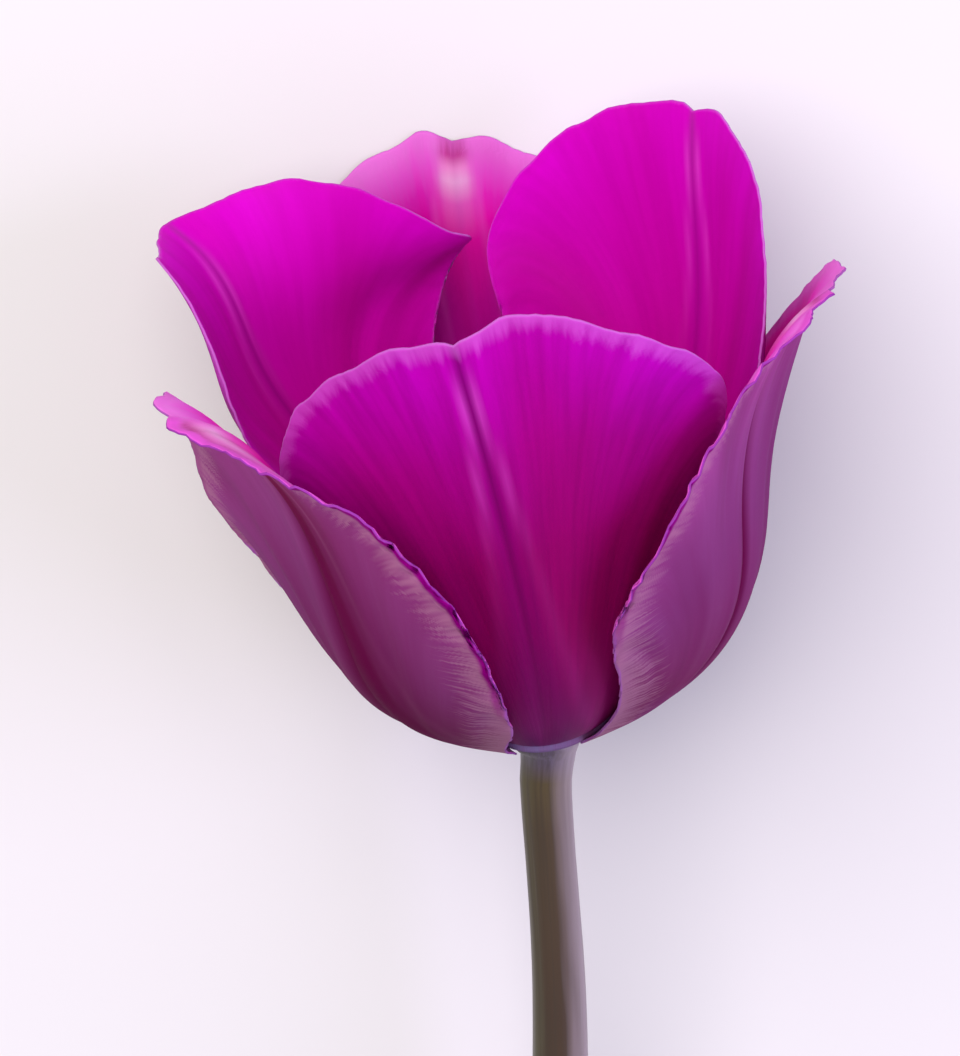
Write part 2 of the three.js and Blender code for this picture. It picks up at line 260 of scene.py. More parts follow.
def petalMaterial(name, look):
    f = petalFinish
    material, tree = newMaterial(name)
    petalMap, veinMap, marginMap = [
        addNode(tree, "ShaderNodeUVMap", uv_map=layer).outputs[0]
        for layer in ("petalMap", "veinMap", "marginMap")]
    along = addNode(tree, "ShaderNodeSeparateXYZ", {"Vector": petalMap}).outputs[1]
    toMargin = addNode(tree, "ShaderNodeSeparateXYZ", {"Vector": marginMap}).outputs[1]
    veins = streaks(tree, veinMap, (f["veinScale"], f["veinBreaks"], 1), 3)
    patches = streaks(tree, veinMap, (f["veinScale"] / f["patchVeins"], f["patchBreaks"], 1), 2)
    acrossMargin = streaks(tree, marginMap, (1 / f["toothWidth"], f["toothCells"], 1), 2)

    # tone from foot to tip, its borders drawn out along the veins
    ragged = addNode(tree, "ShaderNodeMath", {0: veins, 1: f["borderReach"], 2: along},
                     operation="MULTIPLY_ADD").outputs[0]
    centered = addNode(tree, "ShaderNodeMath", {0: ragged, 1: f["borderReach"] / 2}, operation="SUBTRACT")
    toneRamp = addNode(tree, "ShaderNodeValToRGB", {"Fac": centered.outputs[0]})
    color = layOver(tree, rampStops(toneRamp, look["tones"]), (
        (patches, *f["patchNoise"], f["patchShare"], look["deep"]),
        (veins, *f["veinNoise"], look["veinShare"], look["vein"])))

    # midrib: a soft band, on the left outer petal partly painted shade beside its keel; a painted highlight
    # on the ridge on either side, and painted shade along the crease in the middle
    ribColor = rampStops(addNode(tree, "ShaderNodeValToRGB", {"Fac": along}), look["rib"])
    for mask, tone, most in (("ribBand", ribColor, look["ribShare"]),
                             ("ribRidgeHighlight", hexColor(look["ridgeHighlight"]), look["ridgeHighlightShare"]),
                             ("ribCreaseShade", hexColor(look["ribCreaseShade"]), look["creaseShadeShare"])):
        share = addNode(tree, "ShaderNodeAttribute", attribute_name=mask).outputs["Fac"]
        factor = addNode(tree, "ShaderNodeMath", {0: share, 1: most}, operation="MULTIPLY").outputs[0]
        mixed = addNode(tree, "ShaderNodeMix", {"Factor": factor, "A": color, "B": tone}, data_type="RGBA")
        color = mixed.outputs["Result"]

    # margin: a paler rim with teeth that run in from the margin, on the outer petals' backs broad and partly
    # a painted satin highlight, a narrow frill and a thin light edge
    teeth = addNode(tree, "ShaderNodeMix", {"Factor": look["veinTeeth"], "A": acrossMargin, "B": veins})
    low, high = f["toothNoise"]
    tooth, gap = f["toothReach"]
    feather = addNode(tree, "ShaderNodeMapRange", {
        "Value": teeth.outputs["Result"], "From Min": low, "From Max": high,
        "To Min": tooth, "To Max": gap})
    rimPlace = addNode(tree, "ShaderNodeMath", {0: feather.outputs[0], 1: look["rimWidth"], 2: toMargin},
                       operation="MULTIPLY_ADD")
    rim = addNode(tree, "ShaderNodeMapRange", {
        "Value": rimPlace.outputs[0], "From Min": 0, "From Max": look["rimWidth"],
        "To Min": look["rimShare"], "To Max": 0}, interpolation_type="SMOOTHSTEP")
    frill = addNode(tree, "ShaderNodeAttribute", attribute_name="frill")
    low, high = f["edgeRange"]
    edge = addNode(tree, "ShaderNodeMapRange", {
        "Value": toMargin, "From Min": low, "From Max": high,
        "To Min": look["edgeShare"], "To Max": 0}, interpolation_type="SMOOTHSTEP")
    for factor, tone in ((rim.outputs[0], "rim"), (frill.outputs["Fac"], "frill"), (edge.outputs[0], "edge")):
        mixed = addNode(tree, "ShaderNodeMix", {"Factor": factor, "A": color, "B": hexColor(look[tone])},
                        data_type="RGBA")
        color = mixed.outputs["Result"]

    # raised veins and the fine cells of the skin, and light that comes through it
    veinBump = addNode(tree, "ShaderNodeBump", {
        "Height": veins, "Strength": 1.0, "Distance": look["veinHeight"] * mm})
    place = addNode(tree, "ShaderNodeTexCoord").outputs["Object"]
    cells = addNode(tree, "ShaderNodeTexNoise", {
        "Vector": place, "Scale": 1 / (f["grain"] * mm), "Detail": 1})
    bump = addNode(tree, "ShaderNodeBump", {
        "Height": cells.outputs[0], "Strength": 1.0, "Distance": f["grainHeight"] * mm,
        "Normal": veinBump.outputs[0]}).outputs[0]
    skin = addNode(tree, "ShaderNodeBsdfPrincipled", {
        "Base Color": color, "Roughness": look["rough"], "Normal": bump,
        "Sheen Weight": look["sheen"], "Sheen Roughness": 0.5, "Sheen Tint": hexColor(look["sheenTint"]),
        "Specular IOR Level": look["specular"]})
    glow = addNode(tree, "ShaderNodeBsdfTranslucent", {"Color": color, "Normal": bump})
    mix = addNode(tree, "ShaderNodeMixShader", {0: look["through"], 1: skin.outputs[0], 2: glow.outputs[0]})
    addNode(tree, "ShaderNodeOutputMaterial", {"Surface": mix.outputs[0]})
    return material


# Satin upper skin of the inner petals: deep magenta that glows where light comes through, with a painted
# highlight on its midrib near the tip and on the ridges beside it, and painted shade along its crease
satinFace = petalMaterial("satinMagentaFace", petalFinish["innerFace"])
# Satin back of the inner petals: darker, with a feathered lilac margin and a grooved midrib, a painted
# highlight on the ridges beside the groove and painted shade along it
satinBack = petalMaterial("satinMagentaBack", petalFinish["innerBack"])
# Upper skin of the outer petals: paler pink, brightening to hot pink and pale pink near the tip, partly its
# own paler colour and partly a painted glow of light coming through; the whitish streak on its midrib near
# the tip is a painted highlight
paleFace = petalMaterial("palePinkFace", petalFinish["outerFace"])
# Waxy back of the outer petals: a dusty mauve bloom over purple, with a broad maroon midrib that on the left
# outer petal spreads to one side as painted shade beside the keel, a painted highlight along the keel, and a
# pale rim along the margins that is partly a painted satin highlight
bloomBack = petalMaterial("mauveBloomBack", petalFinish["outerBack"])
print("petal materials made")


# Petals

# footReach and footHeight: where a petal starts, mm from the axis and along it. footDrop: share of the length
# that runs on down to the receptacle. ribTip: half width of the midrib's band at the tip, ribSpread: what the
# foot adds to it, lineWidth: half width of the painted shade along its middle, all in mm.
whorls = {
    "outer": {"footReach": 4.8, "footHeight": 1.0, "footDrop": 0,
              "ribTip": 1.4, "ribSpread": 2.6, "ribPower": 0.8, "lineWidth": 0.35},
    "inner": {"footReach": 4.2, "footHeight": 2.6, "footDrop": 0.014,
              "ribTip": 0.25, "ribSpread": 5.6, "ribPower": 1.05, "lineWidth": 0.2},
}

# Lists run from foot to tip in equal steps; angles are in degrees and widths in mm.
# azimuth: where the petal stands round the axis; length: of its midrib, mm.
# rise and sway: slope of the midrib up and sideways; twist: turn about it; fold: crease along it.
# For each half: width from midrib to margin, curl towards the axis, flare back outwards near the margin,
# shoulder and round of the tip's outline, and frill, how strongly the margin is frilled.
# lobes: middle, half width and height of swellings of the tip's outline; pleat and groove: depth in mm.
# notch: depth of the notch at the tip, as a share of the length; band: how far beside the midrib
# the band lies, how broad it is beside the whorl's usual one, and how far its painted shade fades away to the
# side.
petalShapes = {
    "inner_petal_front": {
        "whorl": "inner", "azimuth": 265.5, "length": 77,
        "rise": [22, 41, 57, 68, 78, 86.5], "sway": [6, -1, -8], "twist": [0.5, 5.5, -10.5],
        "fold": [0.5, 5, 4.5, 5],
        "clockwise": {
            "width": [7.8, 15, 21.5, 27.5, 31.5, 33.5], "curl": [40, 44.5, 46, 44.5],
            "flare": [0, 0, 1.5, 4],
            "shoulder": 0.58, "round": 2.3, "frill": 0.15,
        },
        "counter": {
            "width": [10.5, 17, 22.5, 28, 32, 31.5], "curl": [43.5, 46.5, 44.5, 36],
            "flare": [0, 0, -5.5, 6],
            "shoulder": 0.63, "round": 2.3, "frill": 0.15,
        },
        "lobes": [[-0.2, 0.14, 0.01], [0.28, 0.22, 0.03]], "pleat": 0.1, "groove": 0.3, "seed": 1,
        "notch": 0.008, "band": (0, 1, 0),
    },
    "inner_petal_left": {
        "whorl": "inner", "azimuth": 146.5, "length": 75.5,
        "rise": [41.5, 57.5, 63, 62.5, 79.5, 28.5], "sway": [-14.5, 13, 0], "twist": [2.5, 7, -8.5],
        "fold": [4.5, -2, 10, 20],
        "clockwise": {
            "width": [4.3, 11, 17, 21.5, 32, 32, 31], "curl": [34, 32, 50.5, 54.5],
            "flare": [-0.5, 4.5, -2, 1.5],
            "shoulder": 0.67, "round": 1.15, "frill": 0.2,
        },
        "counter": {
            "width": [4.2, 11.5, 18.5, 23.5, 27, 29.5, 30.5], "curl": [43.5, 40, 36, 52],
            "flare": [0, 2, 7.5, 10.5],
            "shoulder": 0.6, "round": 1.85, "frill": 0.2,
        },
        "lobes": [[-0.2, 0.14, -0.01], [0.28, 0.2, -0.03]], "pleat": 0.1, "groove": 0.35, "seed": 2,
        "notch": 0.004, "band": (0, 0.7, 0),
    },
    "inner_petal_right": {
        "whorl": "inner", "azimuth": 34, "length": 78,
        "rise": [32, 50, 64.5, 74.5, 87, 83], "sway": [2, -0.5, -1.5], "twist": [6.5, 4.5, 6.5],
        "fold": [2.5, 3, 7, 5.5],
        "clockwise": {
            "width": [4.5, 14, 21.5, 27.5, 30, 30.5], "curl": [40.5, 44, 46, 47],
            "flare": [0, 0, 1, 5],
            "shoulder": 0.62, "round": 1.55, "frill": 0.12,
        },
        "counter": {
            "width": [4.5, 12.5, 20, 25, 31.5, 31], "curl": [39.5, 44.5, 51, 55.5],
            "flare": [0, 0, 5, 3.5],
            "shoulder": 0.55, "round": 2.35, "frill": 0.2,
        },
        "lobes": [[-0.2, 0.14, 0.01], [0.28, 0.2, 0]], "pleat": 0.1, "groove": 0.3, "seed": 3,
        "notch": 0.01, "band": (0, 1, 0),
    },
    "outer_petal_left": {
        "whorl": "outer", "azimuth": 210.5, "length": 79.5,
        "rise": [31.5, 32.5, 53, 71.5, 74.5, 56, 26], "sway": [0, 22, 4, 0], "twist": [-1.5, -4, -13.5],
        "fold": [-1, 2.5, -6, -1.5],
        "clockwise": {
            "width": [4.5, 14, 22, 27.5, 27.5, 24.5], "curl": [32.5, 32, 15.5, 4.5, -5],
            "flare": [-1, 19.5, 8, 5.5],
            "shoulder": 0.52, "round": 1.7, "frill": 0.3,
        },
        "counter": {
            "width": [0.6, 13, 20, 24.5, 24, 24.5], "curl": [12, 31, 42, 33.5, 23.5],
            "flare": [2, 10.5, -4, 13.5],
            "shoulder": 0.59, "round": 1.75, "frill": 1,
        },
        "lobes": [[-0.14, 0.1, 0.02], [0.14, 0.1, 0.02]], "pleat": 0.14, "groove": 0.35, "seed": 4,
        # the band lies beside the keel and fades away to one side as painted shade
        "notch": 0.006, "band": (2.6, 1.85, 10),
    },
    "outer_petal_right": {
        "whorl": "outer", "azimuth": 336, "length": 76,
        "rise": [22, 34.5, 58.5, 81.5, 73.5, 57.5, 35.5], "sway": [5.5, -4.5, -10, -2.5],
        "twist": [-11.5, -3, 2],
        "fold": [-1, 0, -9, -1.5],
        "clockwise": {
            "width": [1.2, 14, 22.5, 27, 26, 24], "curl": [9, 24, 39.5, 19.5, 5.5],
            "flare": [1, 6.5, -0.5, 8.5],
            "shoulder": 0.54, "round": 1.65, "frill": 1,
        },
        "counter": {
            "width": [4.6, 16, 25.5, 29, 29, 26], "curl": [30, 49, 62.5, 37.5, 21],
            "flare": [1, 2.5, 1, 8.5],
            "shoulder": 0.52, "round": 2.05, "frill": 0.3,
        },
        "lobes": [[0.16, 0.1, -0.01], [-0.14, 0.1, -0.01]], "pleat": 0.14, "groove": 0.35, "seed": 5,
        "notch": 0.006, "band": (-0.2, 0.5, 0),
    },
    "outer_petal_back": {
        "whorl": "outer", "azimuth": 90, "length": 79,
        "rise": [14, 31, 51, 71, 80, 80, 80], "sway": [0, 0.5, 3.5, -4], "twist": [0, 0, 0],
        "fold": [0, 0, 0, 0],
        "clockwise": {
            "width": [4.5, 14, 22, 26, 27, 26], "curl": [34, 34, 18, 3, 0],
            "flare": [0, 0, 0, 0],
            "shoulder": 0.52, "round": 2, "frill": 0.1,
        },
        "counter": {
            "width": [4.5, 14, 22, 25, 27, 27.5], "curl": [34, 34, 18, 3, 0],
            "flare": [0, 0, 0, 0],
            "shoulder": 0.43, "round": 2.65, "frill": 0.1,
        },
        "lobes": [[-0.14, 0.1, 0.005], [0.14, 0.1, 0.015]], "pleat": 0.08, "groove": 0.2, "seed": 6,
        "notch": 0.004, "band": (0, 1.5, 0),
    },
}

petalMake = {
    "across": 120,  # squares of the grid across and along
    "along": 190,
    "heel": (0.5, 0.87),  # direction of the part below the foot, along the petal and along the flower's axis
    "midribSteps": 160,
    "turnSteps": 16,  # from the midrib to the margin, over which the curl is added up
    "flareStart": 0.7,  # share of the half width where the marginal band starts
    "footThickness": 1.0,  # mm
    "footEnd": 0.15,  # share of the length over which the foot thins
    "thickness": 0.6,
    "marginThickness": 0.26,
    "marginTaper": 6,  # mm over which it thins
    # groove along the back of the midrib, and the ridge on either side of it, mm
    "grooveHalf": 0.5,
    "ridgeAside": 1.6,
    "ridgeHalf": 0.8,
    "ridgeHeight": 0.6,  # of the groove's depth
    "grooveSpread": 1.5,  # how much broader they are at the foot
    "grooveFade": 0.85,  # share of the length from which they fade by half
    "pleats": ((31, 2.1, 0, 1), (53, 4.7, 3, 0.7)),  # radians across, turn by seed and length, height
    "pleatRange": (0.1, 0.7),  # shares of the length over which the pleats rise
    "pleatAside": (0.05, 0.25),  # shares of the half width
    "notchWidth": 0.035,  # half width of the notch at the tip, as a share of the half petal
    "scallopLength": 1.5,  # mm, fine teeth of the margin
    "scallopDepth": 0.09,
    "scallopWaver": (0.8, 0.31),  # how unevenly teeth follow each other: radians, and how slowly beside them
    "lobeLength": 8,  # mm, broad waves of the margin
    "lobeDepth": 0.2,
    "frillLength": 5.2,  # mm, waves of a frilled margin
    "frillDepth": 0.9,
    "frillHeight": 0.5,
    "frillLeast": 0.35,  # height between its waves, beside theirs
    "frillWaver": (1.7, 0.42),  # radians, and radians to a mm
    "frillReach": 1.6,  # mm from the margin over which their height fades
    "frillBand": (0.8, 1.6),  # mm from the margin over which the frill's tone ends
    "frillRange": (30, 48),  # mm along the margin from the foot over which the frill begins
    "raggedReach": 2,  # mm from the margin over which its teeth and waves fade
    "outset": 3,  # mm beyond the margin towards which its teeth point
    "insideSteps": 3,  # squares between the margin and the line that shows which way is out
    "evenSteps": 9,  # steps either side over which the margin is evened before the teeth's lines are drawn
    "crinkle": 0.06,  # mm, height of the fine creases that run to the margin
    "crinkleLength": 1.4,  # mm from crease to crease
    "crinkleReach": 2.2,
    "crinkleWaver": (1.9, 0.23),
    "fan": 1.1,  # how strongly the veins fan out
    # tones of the midrib: its band, with painted shade fading away to one side where it fades, the painted
    # highlight on the ridges beside it and the painted shade along the crease in its middle
    "bandShare": 0.85,
    "bandFade": (0.35, 1.1),  # of its half width
    "fadingShadeShare": 0.74,  # strength of the painted shade on the fading side of a midrib band
    "fadingShadeSpread": (1.2, 0.9),  # its width at the tip and what the foot adds, as shares
    # the painted highlight on the ridges beside the midrib
    "ridgeGap": 0.1,  # mm outside the band
    "ridgeWidth": (0.17, 1.1),  # mm at the tip and what the foot adds
    "ridgeLeast": 0.12,  # share of a ridge's tone below its range
    "ridgeRange": (0.6, 0.92),
    "ridgeStart": (0.02, 0.2),
    # the painted shade along the crease in the midrib's middle
    "lineMost": 0.75,
    "lineFade": (0.4, 1.3),
    "lineSpread": 1.6,
    "lineLeast": 0.45,
    "lineRange": (0.35, 0.8),
    "lineStart": (0, 0.1),
    # how the blotch draws back from the margin: by a share of the length, over mm and over more such shares
    "blotchInset": 0.26,
    "blotchMargin": (0.5, 5),
    "blotchStart": (0.01, 0.06),
    "blotchEnd": (0.12, 0.4),
}


def through(values, share):  # smooth curve through equally spaced values
    values = np.asarray(values, float)
    spans = len(values) - 1
    place = np.clip(share, 0, 1) * spans
    i = np.minimum(place.astype(int), spans - 1)
    f = place - i
    b, c = values[i], values[i + 1]
    a = np.where(i == 0, 2 * b - c, values[np.maximum(i - 1, 0)])
    d = np.where(i + 2 > spans, 2 * c - b, values[np.minimum(i + 2, spans)])
    return 0.5 * (2 * b + (c - a) * f + (2 * a - 5 * b + 4 * c - d) * f**2 + (3 * b - a - 3 * c + d) * f**3)


def unit(vectors):
    return vectors / np.linalg.norm(vectors, axis=1)[:, None]


def midribOf(shape):  # stations along the midrib: place, forward, across and inward
    azimuth = math.radians(shape["azimuth"])
    out = np.array([math.cos(azimuth), math.sin(azimuth), 0])
    side = np.array([-math.sin(azimuth), math.cos(azimuth), 0])
    up = np.array([0, 0, 1.0])
    steps = petalMake["midribSteps"]
    v = np.linspace(0, 1, steps + 1)
    rise = np.radians(through(shape["rise"], v))[:, None]
    sway = np.radians(through(shape["sway"], v))[:, None]
    twist = np.radians(through(shape["twist"], v))[:, None]
    forward = np.cos(rise) * np.cos(sway) * out + np.sin(sway) * side + np.sin(rise) * np.cos(sway) * up
    whorl = whorls[shape["whorl"]]
    start = out * whorl["footReach"] + up * whorl["footHeight"]
    strides = (forward[1:] + forward[:-1]) / 2 * shape["length"] / steps
    place = np.vstack([start, start + np.cumsum(strides, axis=0)])
    level = unit(side - (forward @ side)[:, None] * forward)
    square = np.cross(forward, level)
    across = level * np.cos(twist) + square * np.sin(twist)
    inward = square * np.cos(twist) - level * np.sin(twist)
    return v, place, forward, across, inward


def perHalf(shape, key, u, v):
    left, right = shape["clockwise"][key], shape["counter"][key]
    if np.isscalar(left):
        return np.where(u < 0, left, right)
    return np.where(u < 0, through(left, v), through(right, v))


def scallop(mmAlong, length, seed):  # rounded teeth of uneven length, 0 to 1
    sway, rate = petalMake["scallopWaver"]
    phase = mmAlong / length * math.pi
    return np.abs(np.sin(phase + sway * np.sin(phase * rate + seed) + seed * 1.7))


def tipOutline(shape, u):
    m = petalMake
    shoulder, roundness = perHalf(shape, "shoulder", u, u), perHalf(shape, "round", u, u)
    reach = shoulder + (1 - shoulder) * np.sqrt(np.clip(1 - np.abs(u) ** roundness, 0, 1))
    for middle, spread, height in shape["lobes"]:
        reach = reach + height * np.exp(-(((u - middle) / spread) ** 2))
    return reach - shape["notch"] * np.exp(-np.abs(u) / m["notchWidth"])


def raggedness(shape, u, margin):  # how far the margin stands out in its own plane, mm
    m = petalMake
    teeth = m["scallopDepth"] * scallop(margin["around"], m["scallopLength"], shape["seed"])
    waves = m["lobeDepth"] * np.sin(margin["around"] / m["lobeLength"] * 2 * math.pi + shape["seed"] * 2.3)
    frills = m["frillDepth"] * scallop(margin["around"], m["frillLength"], shape["seed"] + 1)
    ragged = teeth + waves + frills * perHalf(shape, "frill", u, u)
    near = np.exp(-margin["distance"] / m["raggedReach"])
    return ragged * near * smoothStep(margin["fromFoot"], *m["frillRange"])


def fanned(u, t):  # the half width drawn in as the veins are, from foot to tip
    return u * np.exp(-petalMake["fan"] * t * t)


def reliefOf(shape, u, t, v, aside, margin):  # how far the skin stands out towards the petal's back, mm
    m = petalMake
    seed, around, toMargin = shape["seed"], margin["around"], margin["distance"]
    spread = 1 + m["grooveSpread"] * (1 - v)
    beside = (aside - m["ridgeAside"] * spread) / (m["ridgeHalf"] * spread)
    groove = m["ridgeHeight"] * np.exp(-(beside ** 2)) - np.exp(-((aside / (m["grooveHalf"] * spread)) ** 2))
    fading = 1 - 0.5 * smoothStep(t, m["grooveFade"], 1)
    relief = shape["groove"] * groove * smoothStep(t, 0, m["footEnd"]) * fading
    pleats = sum(height * np.sin(fanned(u, t) * count + seed * turn + drift * v)
                 for count, turn, drift, height in m["pleats"])
    relief = relief + shape["pleat"] * pleats * smoothStep(t, *m["pleatRange"]) * smoothStep(
        np.abs(u), *m["pleatAside"])

    # waves and creases of uneven length along the margin
    frill = perHalf(shape, "frill", u, v)
    sway, rate = m["frillWaver"]
    wave = 0.5 + 0.5 * np.sin(2 * math.pi * around / m["frillLength"] + sway * np.sin(around * rate + seed))
    frills = m["frillHeight"] * frill * (m["frillLeast"] + wave) * np.exp(-toMargin / m["frillReach"])
    sway, rate = m["crinkleWaver"]
    turns = 2 * math.pi * around / m["crinkleLength"]
    creases = m["crinkle"] * np.sin(turns + sway * np.sin(turns * rate)) * (0.5 + frill)
    creases = creases * np.exp(-toMargin / m["crinkleReach"])
    return relief + (frills + creases) * smoothStep(margin["fromFoot"], *m["frillRange"])


def petalSurface(shape, u, t, margin=None):  # points in mm in the flower's frame, smooth with no margin given
    v = t * tipOutline(shape, u)
    stations, place, forward, across, inward = midribOf(shape)

    def at(values):
        return np.stack([np.interp(v, stations, values[:, k]) for k in range(3)], -1)

    width = perHalf(shape, "width", u, v)
    curl = np.radians(perHalf(shape, "curl", u, v))
    flare = np.radians(perHalf(shape, "flare", u, v))
    fold = np.radians(through(shape["fold"], v))
    edge = np.abs(u)
    hand = np.where(u < 0, -1.0, 1.0)

    def turnAt(x):
        return fold + curl * x - flare * smoothStep(x, petalMake["flareStart"], 1)

    sideways, inwards = np.zeros_like(u), np.zeros_like(u)
    for i in range(petalMake["turnSteps"]):
        turn = turnAt(edge * (i + 0.5) / petalMake["turnSteps"])
        sideways += np.cos(turn) * edge / petalMake["turnSteps"]
        inwards += np.sin(turn) * edge / petalMake["turnSteps"]
    turn = turnAt(edge)
    across, inward = at(across), at(inward)
    onward, heel = petalMake["heel"]
    beyond = np.clip(v - 1, 0, None) * shape["length"]
    below = np.clip(v, None, 0) * shape["length"]
    point = at(place) + (beyond + onward * below)[:, None] * at(forward)
    point[:, 2] += heel * below
    point = point + (hand * sideways * width)[:, None] * across + (inwards * width)[:, None] * inward
    if margin is None:
        return point
    backward = (hand * np.sin(turn))[:, None] * across - np.cos(turn)[:, None] * inward
    relief = reliefOf(shape, u, t, v, edge * width, margin)
    return point + relief[:, None] * backward + raggedness(shape, u, margin)[:, None] * margin["outward"]


def evened(values):  # moving mean along the margin
    steps = petalMake["evenSteps"]
    padded = np.pad(values, ((steps, steps), (0, 0)), "edge")
    return np.mean([padded[i:i + len(values)] for i in range(2 * steps + 1)], axis=0)


def marginOf(point):  # each point's distance to the margin, its place round the margin and its way out, mm
    m = petalMake
    rows = point.reshape(m["along"] + 1, m["across"] + 1, 3)
    inside = m["insideSteps"]
    rim = np.concatenate([rows[:, 0], rows[-1, 1:-1], rows[::-1, -1]])
    within = np.concatenate([rows[:, inside], rows[-1 - inside, 1:-1], rows[::-1, -1 - inside]])
    arc = np.append(0, np.cumsum(np.linalg.norm(np.diff(rim, axis=0), axis=1)))
    even = evened(rim)
    outset = even + m["outset"] * unit(evened(unit(rim - within)))
    nearest, nearestEven = np.full(len(point), np.inf), np.full(len(point), np.inf)
    chosen = np.zeros(len(point), int)
    for i in range(len(rim)):
        nearest = np.minimum(nearest, ((point - rim[i]) ** 2).sum(1))
        distance = ((point - even[i]) ** 2).sum(1)
        closer = distance < nearestEven
        nearestEven[closer] = distance[closer]
        chosen[closer] = i
    around = arc[chosen]
    return {"distance": np.sqrt(nearest), "around": around, "fromFoot": np.minimum(around, arc[-1] - around),
            "outward": unit(outset[chosen] - point)}


def writeAttribute(mesh, name, values):
    layer = mesh.attributes.new(name, "FLOAT", "POINT")
    layer.data.foreach_set("value", values.astype(np.float32))


def writeMap(mesh, layer, x, y):
    corners = np.empty(len(mesh.loops), int)
    mesh.loops.foreach_get("vertex_index", corners)
    layer.data.foreach_set("uv", np.stack([x, y], 1)[corners].ravel())


def markMidrib(mesh, shape, t, v, aside):  # where the tones of the midrib lie and how strong they are: its band, with painted shade fading to one side, a painted highlight on the ridges beside it and painted shade along the crease in its middle
    m = petalMake
    whorl = whorls[shape["whorl"]]
    middle, breadth, shadeReach = shape["band"]
    half = (whorl["ribTip"] + whorl["ribSpread"] * np.clip(1 - v, 0, 1) ** whorl["ribPower"]) * breadth
    beside = np.abs(aside - middle)
    tipWidth, footWidth = m["ridgeWidth"]
    ridgeHighlight = np.exp(-(((beside - (half + m["ridgeGap"])) / (tipWidth + footWidth * (1 - v))) ** 2))
    ridgeHighlight = ridgeHighlight * (m["ridgeLeast"] + (1 - m["ridgeLeast"]) * smoothStep(t, *m["ridgeRange"]))
    writeAttribute(mesh, "ribRidgeHighlight", ridgeHighlight * smoothStep(t, *m["ridgeStart"]))
    band = m["bandShare"] * (1 - smoothStep(beside / half, *m["bandFade"]))
    # on the side where it fades, the band is painted shade beside the keel
    if shadeReach:
        tipShare, footShare = m["fadingShadeSpread"]
        fading = smoothStep(aside - middle, 0, shadeReach * (tipShare + footShare * (1 - v)))
        band = np.maximum(band, np.where(aside > middle, m["fadingShadeShare"] * (1 - fading), 0))
    writeAttribute(mesh, "ribBand", band)
    lineHalf = whorl["lineWidth"] * (1 + m["lineSpread"] * (1 - v))
    line = m["lineMost"] * (1 - smoothStep(np.abs(aside) / lineHalf, *m["lineFade"]))
    line = line * (m["lineLeast"] + (1 - m["lineLeast"]) * smoothStep(t, *m["lineRange"]))
    writeAttribute(mesh, "ribCreaseShade", line * smoothStep(t, *m["lineStart"]))


def mapPetal(mesh, shape, u, t, margin):  # the maps that the petal's pattern follows
    m = petalMake
    toMargin = margin["distance"]
    drawnBack = (1 - smoothStep(toMargin, *m["blotchMargin"])) * (1 - smoothStep(t, *m["blotchEnd"]))
    inset = m["blotchInset"] * drawnBack * smoothStep(t, *m["blotchStart"])
    layer = mesh.uv_layers[0]
    layer.name = "petalMap"
    writeMap(mesh, layer, 0.5 + 0.5 * u, t + inset)
    writeMap(mesh, mesh.uv_layers.new(name="veinMap"), fanned(u, t), t + 3 * shape["seed"])
    writeMap(mesh, mesh.uv_layers.new(name="marginMap"), margin["around"], toMargin)


def thicken(petal, t, toMargin):  # gives the sheet its wall, thick at the foot and thin at the margin
    m = petalMake
    thickness = m["thickness"] + (m["footThickness"] - m["thickness"]) * (1 - smoothStep(t, 0, m["footEnd"]))
    towards = smoothStep(toMargin, 0, m["marginTaper"])
    thickness = m["marginThickness"] + (thickness - m["marginThickness"]) * towards
    group = petal.vertex_groups.new(name="thickness")
    for i, share in enumerate(thickness / m["footThickness"]):
        group.add([i], float(share), "REPLACE")
    wall = petal.modifiers.new("wall", "SOLIDIFY")
    wall.thickness = m["footThickness"] * mm
    wall.offset = 0
    wall.vertex_group = "thickness"
    wall.thickness_vertex_group = 0
    wall.material_offset = 1
    wall.material_offset_rim = 0
    bpy.ops.object.modifier_apply(modifier="wall")
    bpy.ops.object.shade_smooth()


def makePetal(name, shape, backFinish, faceFinish):
    m = petalMake
    bpy.ops.object.select_all(action="DESELECT")
    bpy.ops.mesh.primitive_grid_add(x_subdivisions=m["across"], y_subdivisions=m["along"], size=2)
    petal = bpy.context.active_object
    petal.name = name + "_skin"
    mesh = petal.data
    flat = np.empty(len(mesh.vertices) * 3)
    mesh.vertices.foreach_get("co", flat)
    x, y = flat.reshape(-1, 3)[:, 0], flat.reshape(-1, 3)[:, 1]
    drop = whorls[shape["whorl"]]["footDrop"]
    u = np.sin(x * math.pi / 2)  # -1 to 1 from margin to margin, closer together near them
    t = (y + 1) / 2 * (1 + drop) - drop  # 0 at the foot and 1 at the tip
    margin = marginOf(petalSurface(shape, u, t))
    point = petalSurface(shape, u, t, margin)
    world = point * mm @ np.array(flowerToWorld.to_3x3()).T + np.array(flowerToWorld.translation)
    mesh.vertices.foreach_set("co", world.ravel())

    v = t * tipOutline(shape, u)
    markMidrib(mesh, shape, t, v, u * perHalf(shape, "width", u, v))
    frill = perHalf(shape, "frill", u, v) * (1 - smoothStep(margin["distance"], *m["frillBand"]))
    writeAttribute(mesh, "frill", frill * smoothStep(margin["fromFoot"], *m["frillRange"]))
    mapPetal(mesh, shape, u, t, margin)
    mesh.materials.append(backFinish)
    mesh.materials.append(faceFinish)
    mesh.update()
    thicken(petal, t, margin["distance"])
    finishPiece(petal, [name])


for petalName, petalShape in petalShapes.items():
    isInner = petalShape["whorl"] == "inner"
    makePetal(petalName, petalShape, satinBack if isInner else bloomBack, satinFace if isInner else paleFace)
    print(petalName, "made")


# Bodies turned about an axis

closedRadius = 0.03  # mm, to which a turned body runs in at its ends


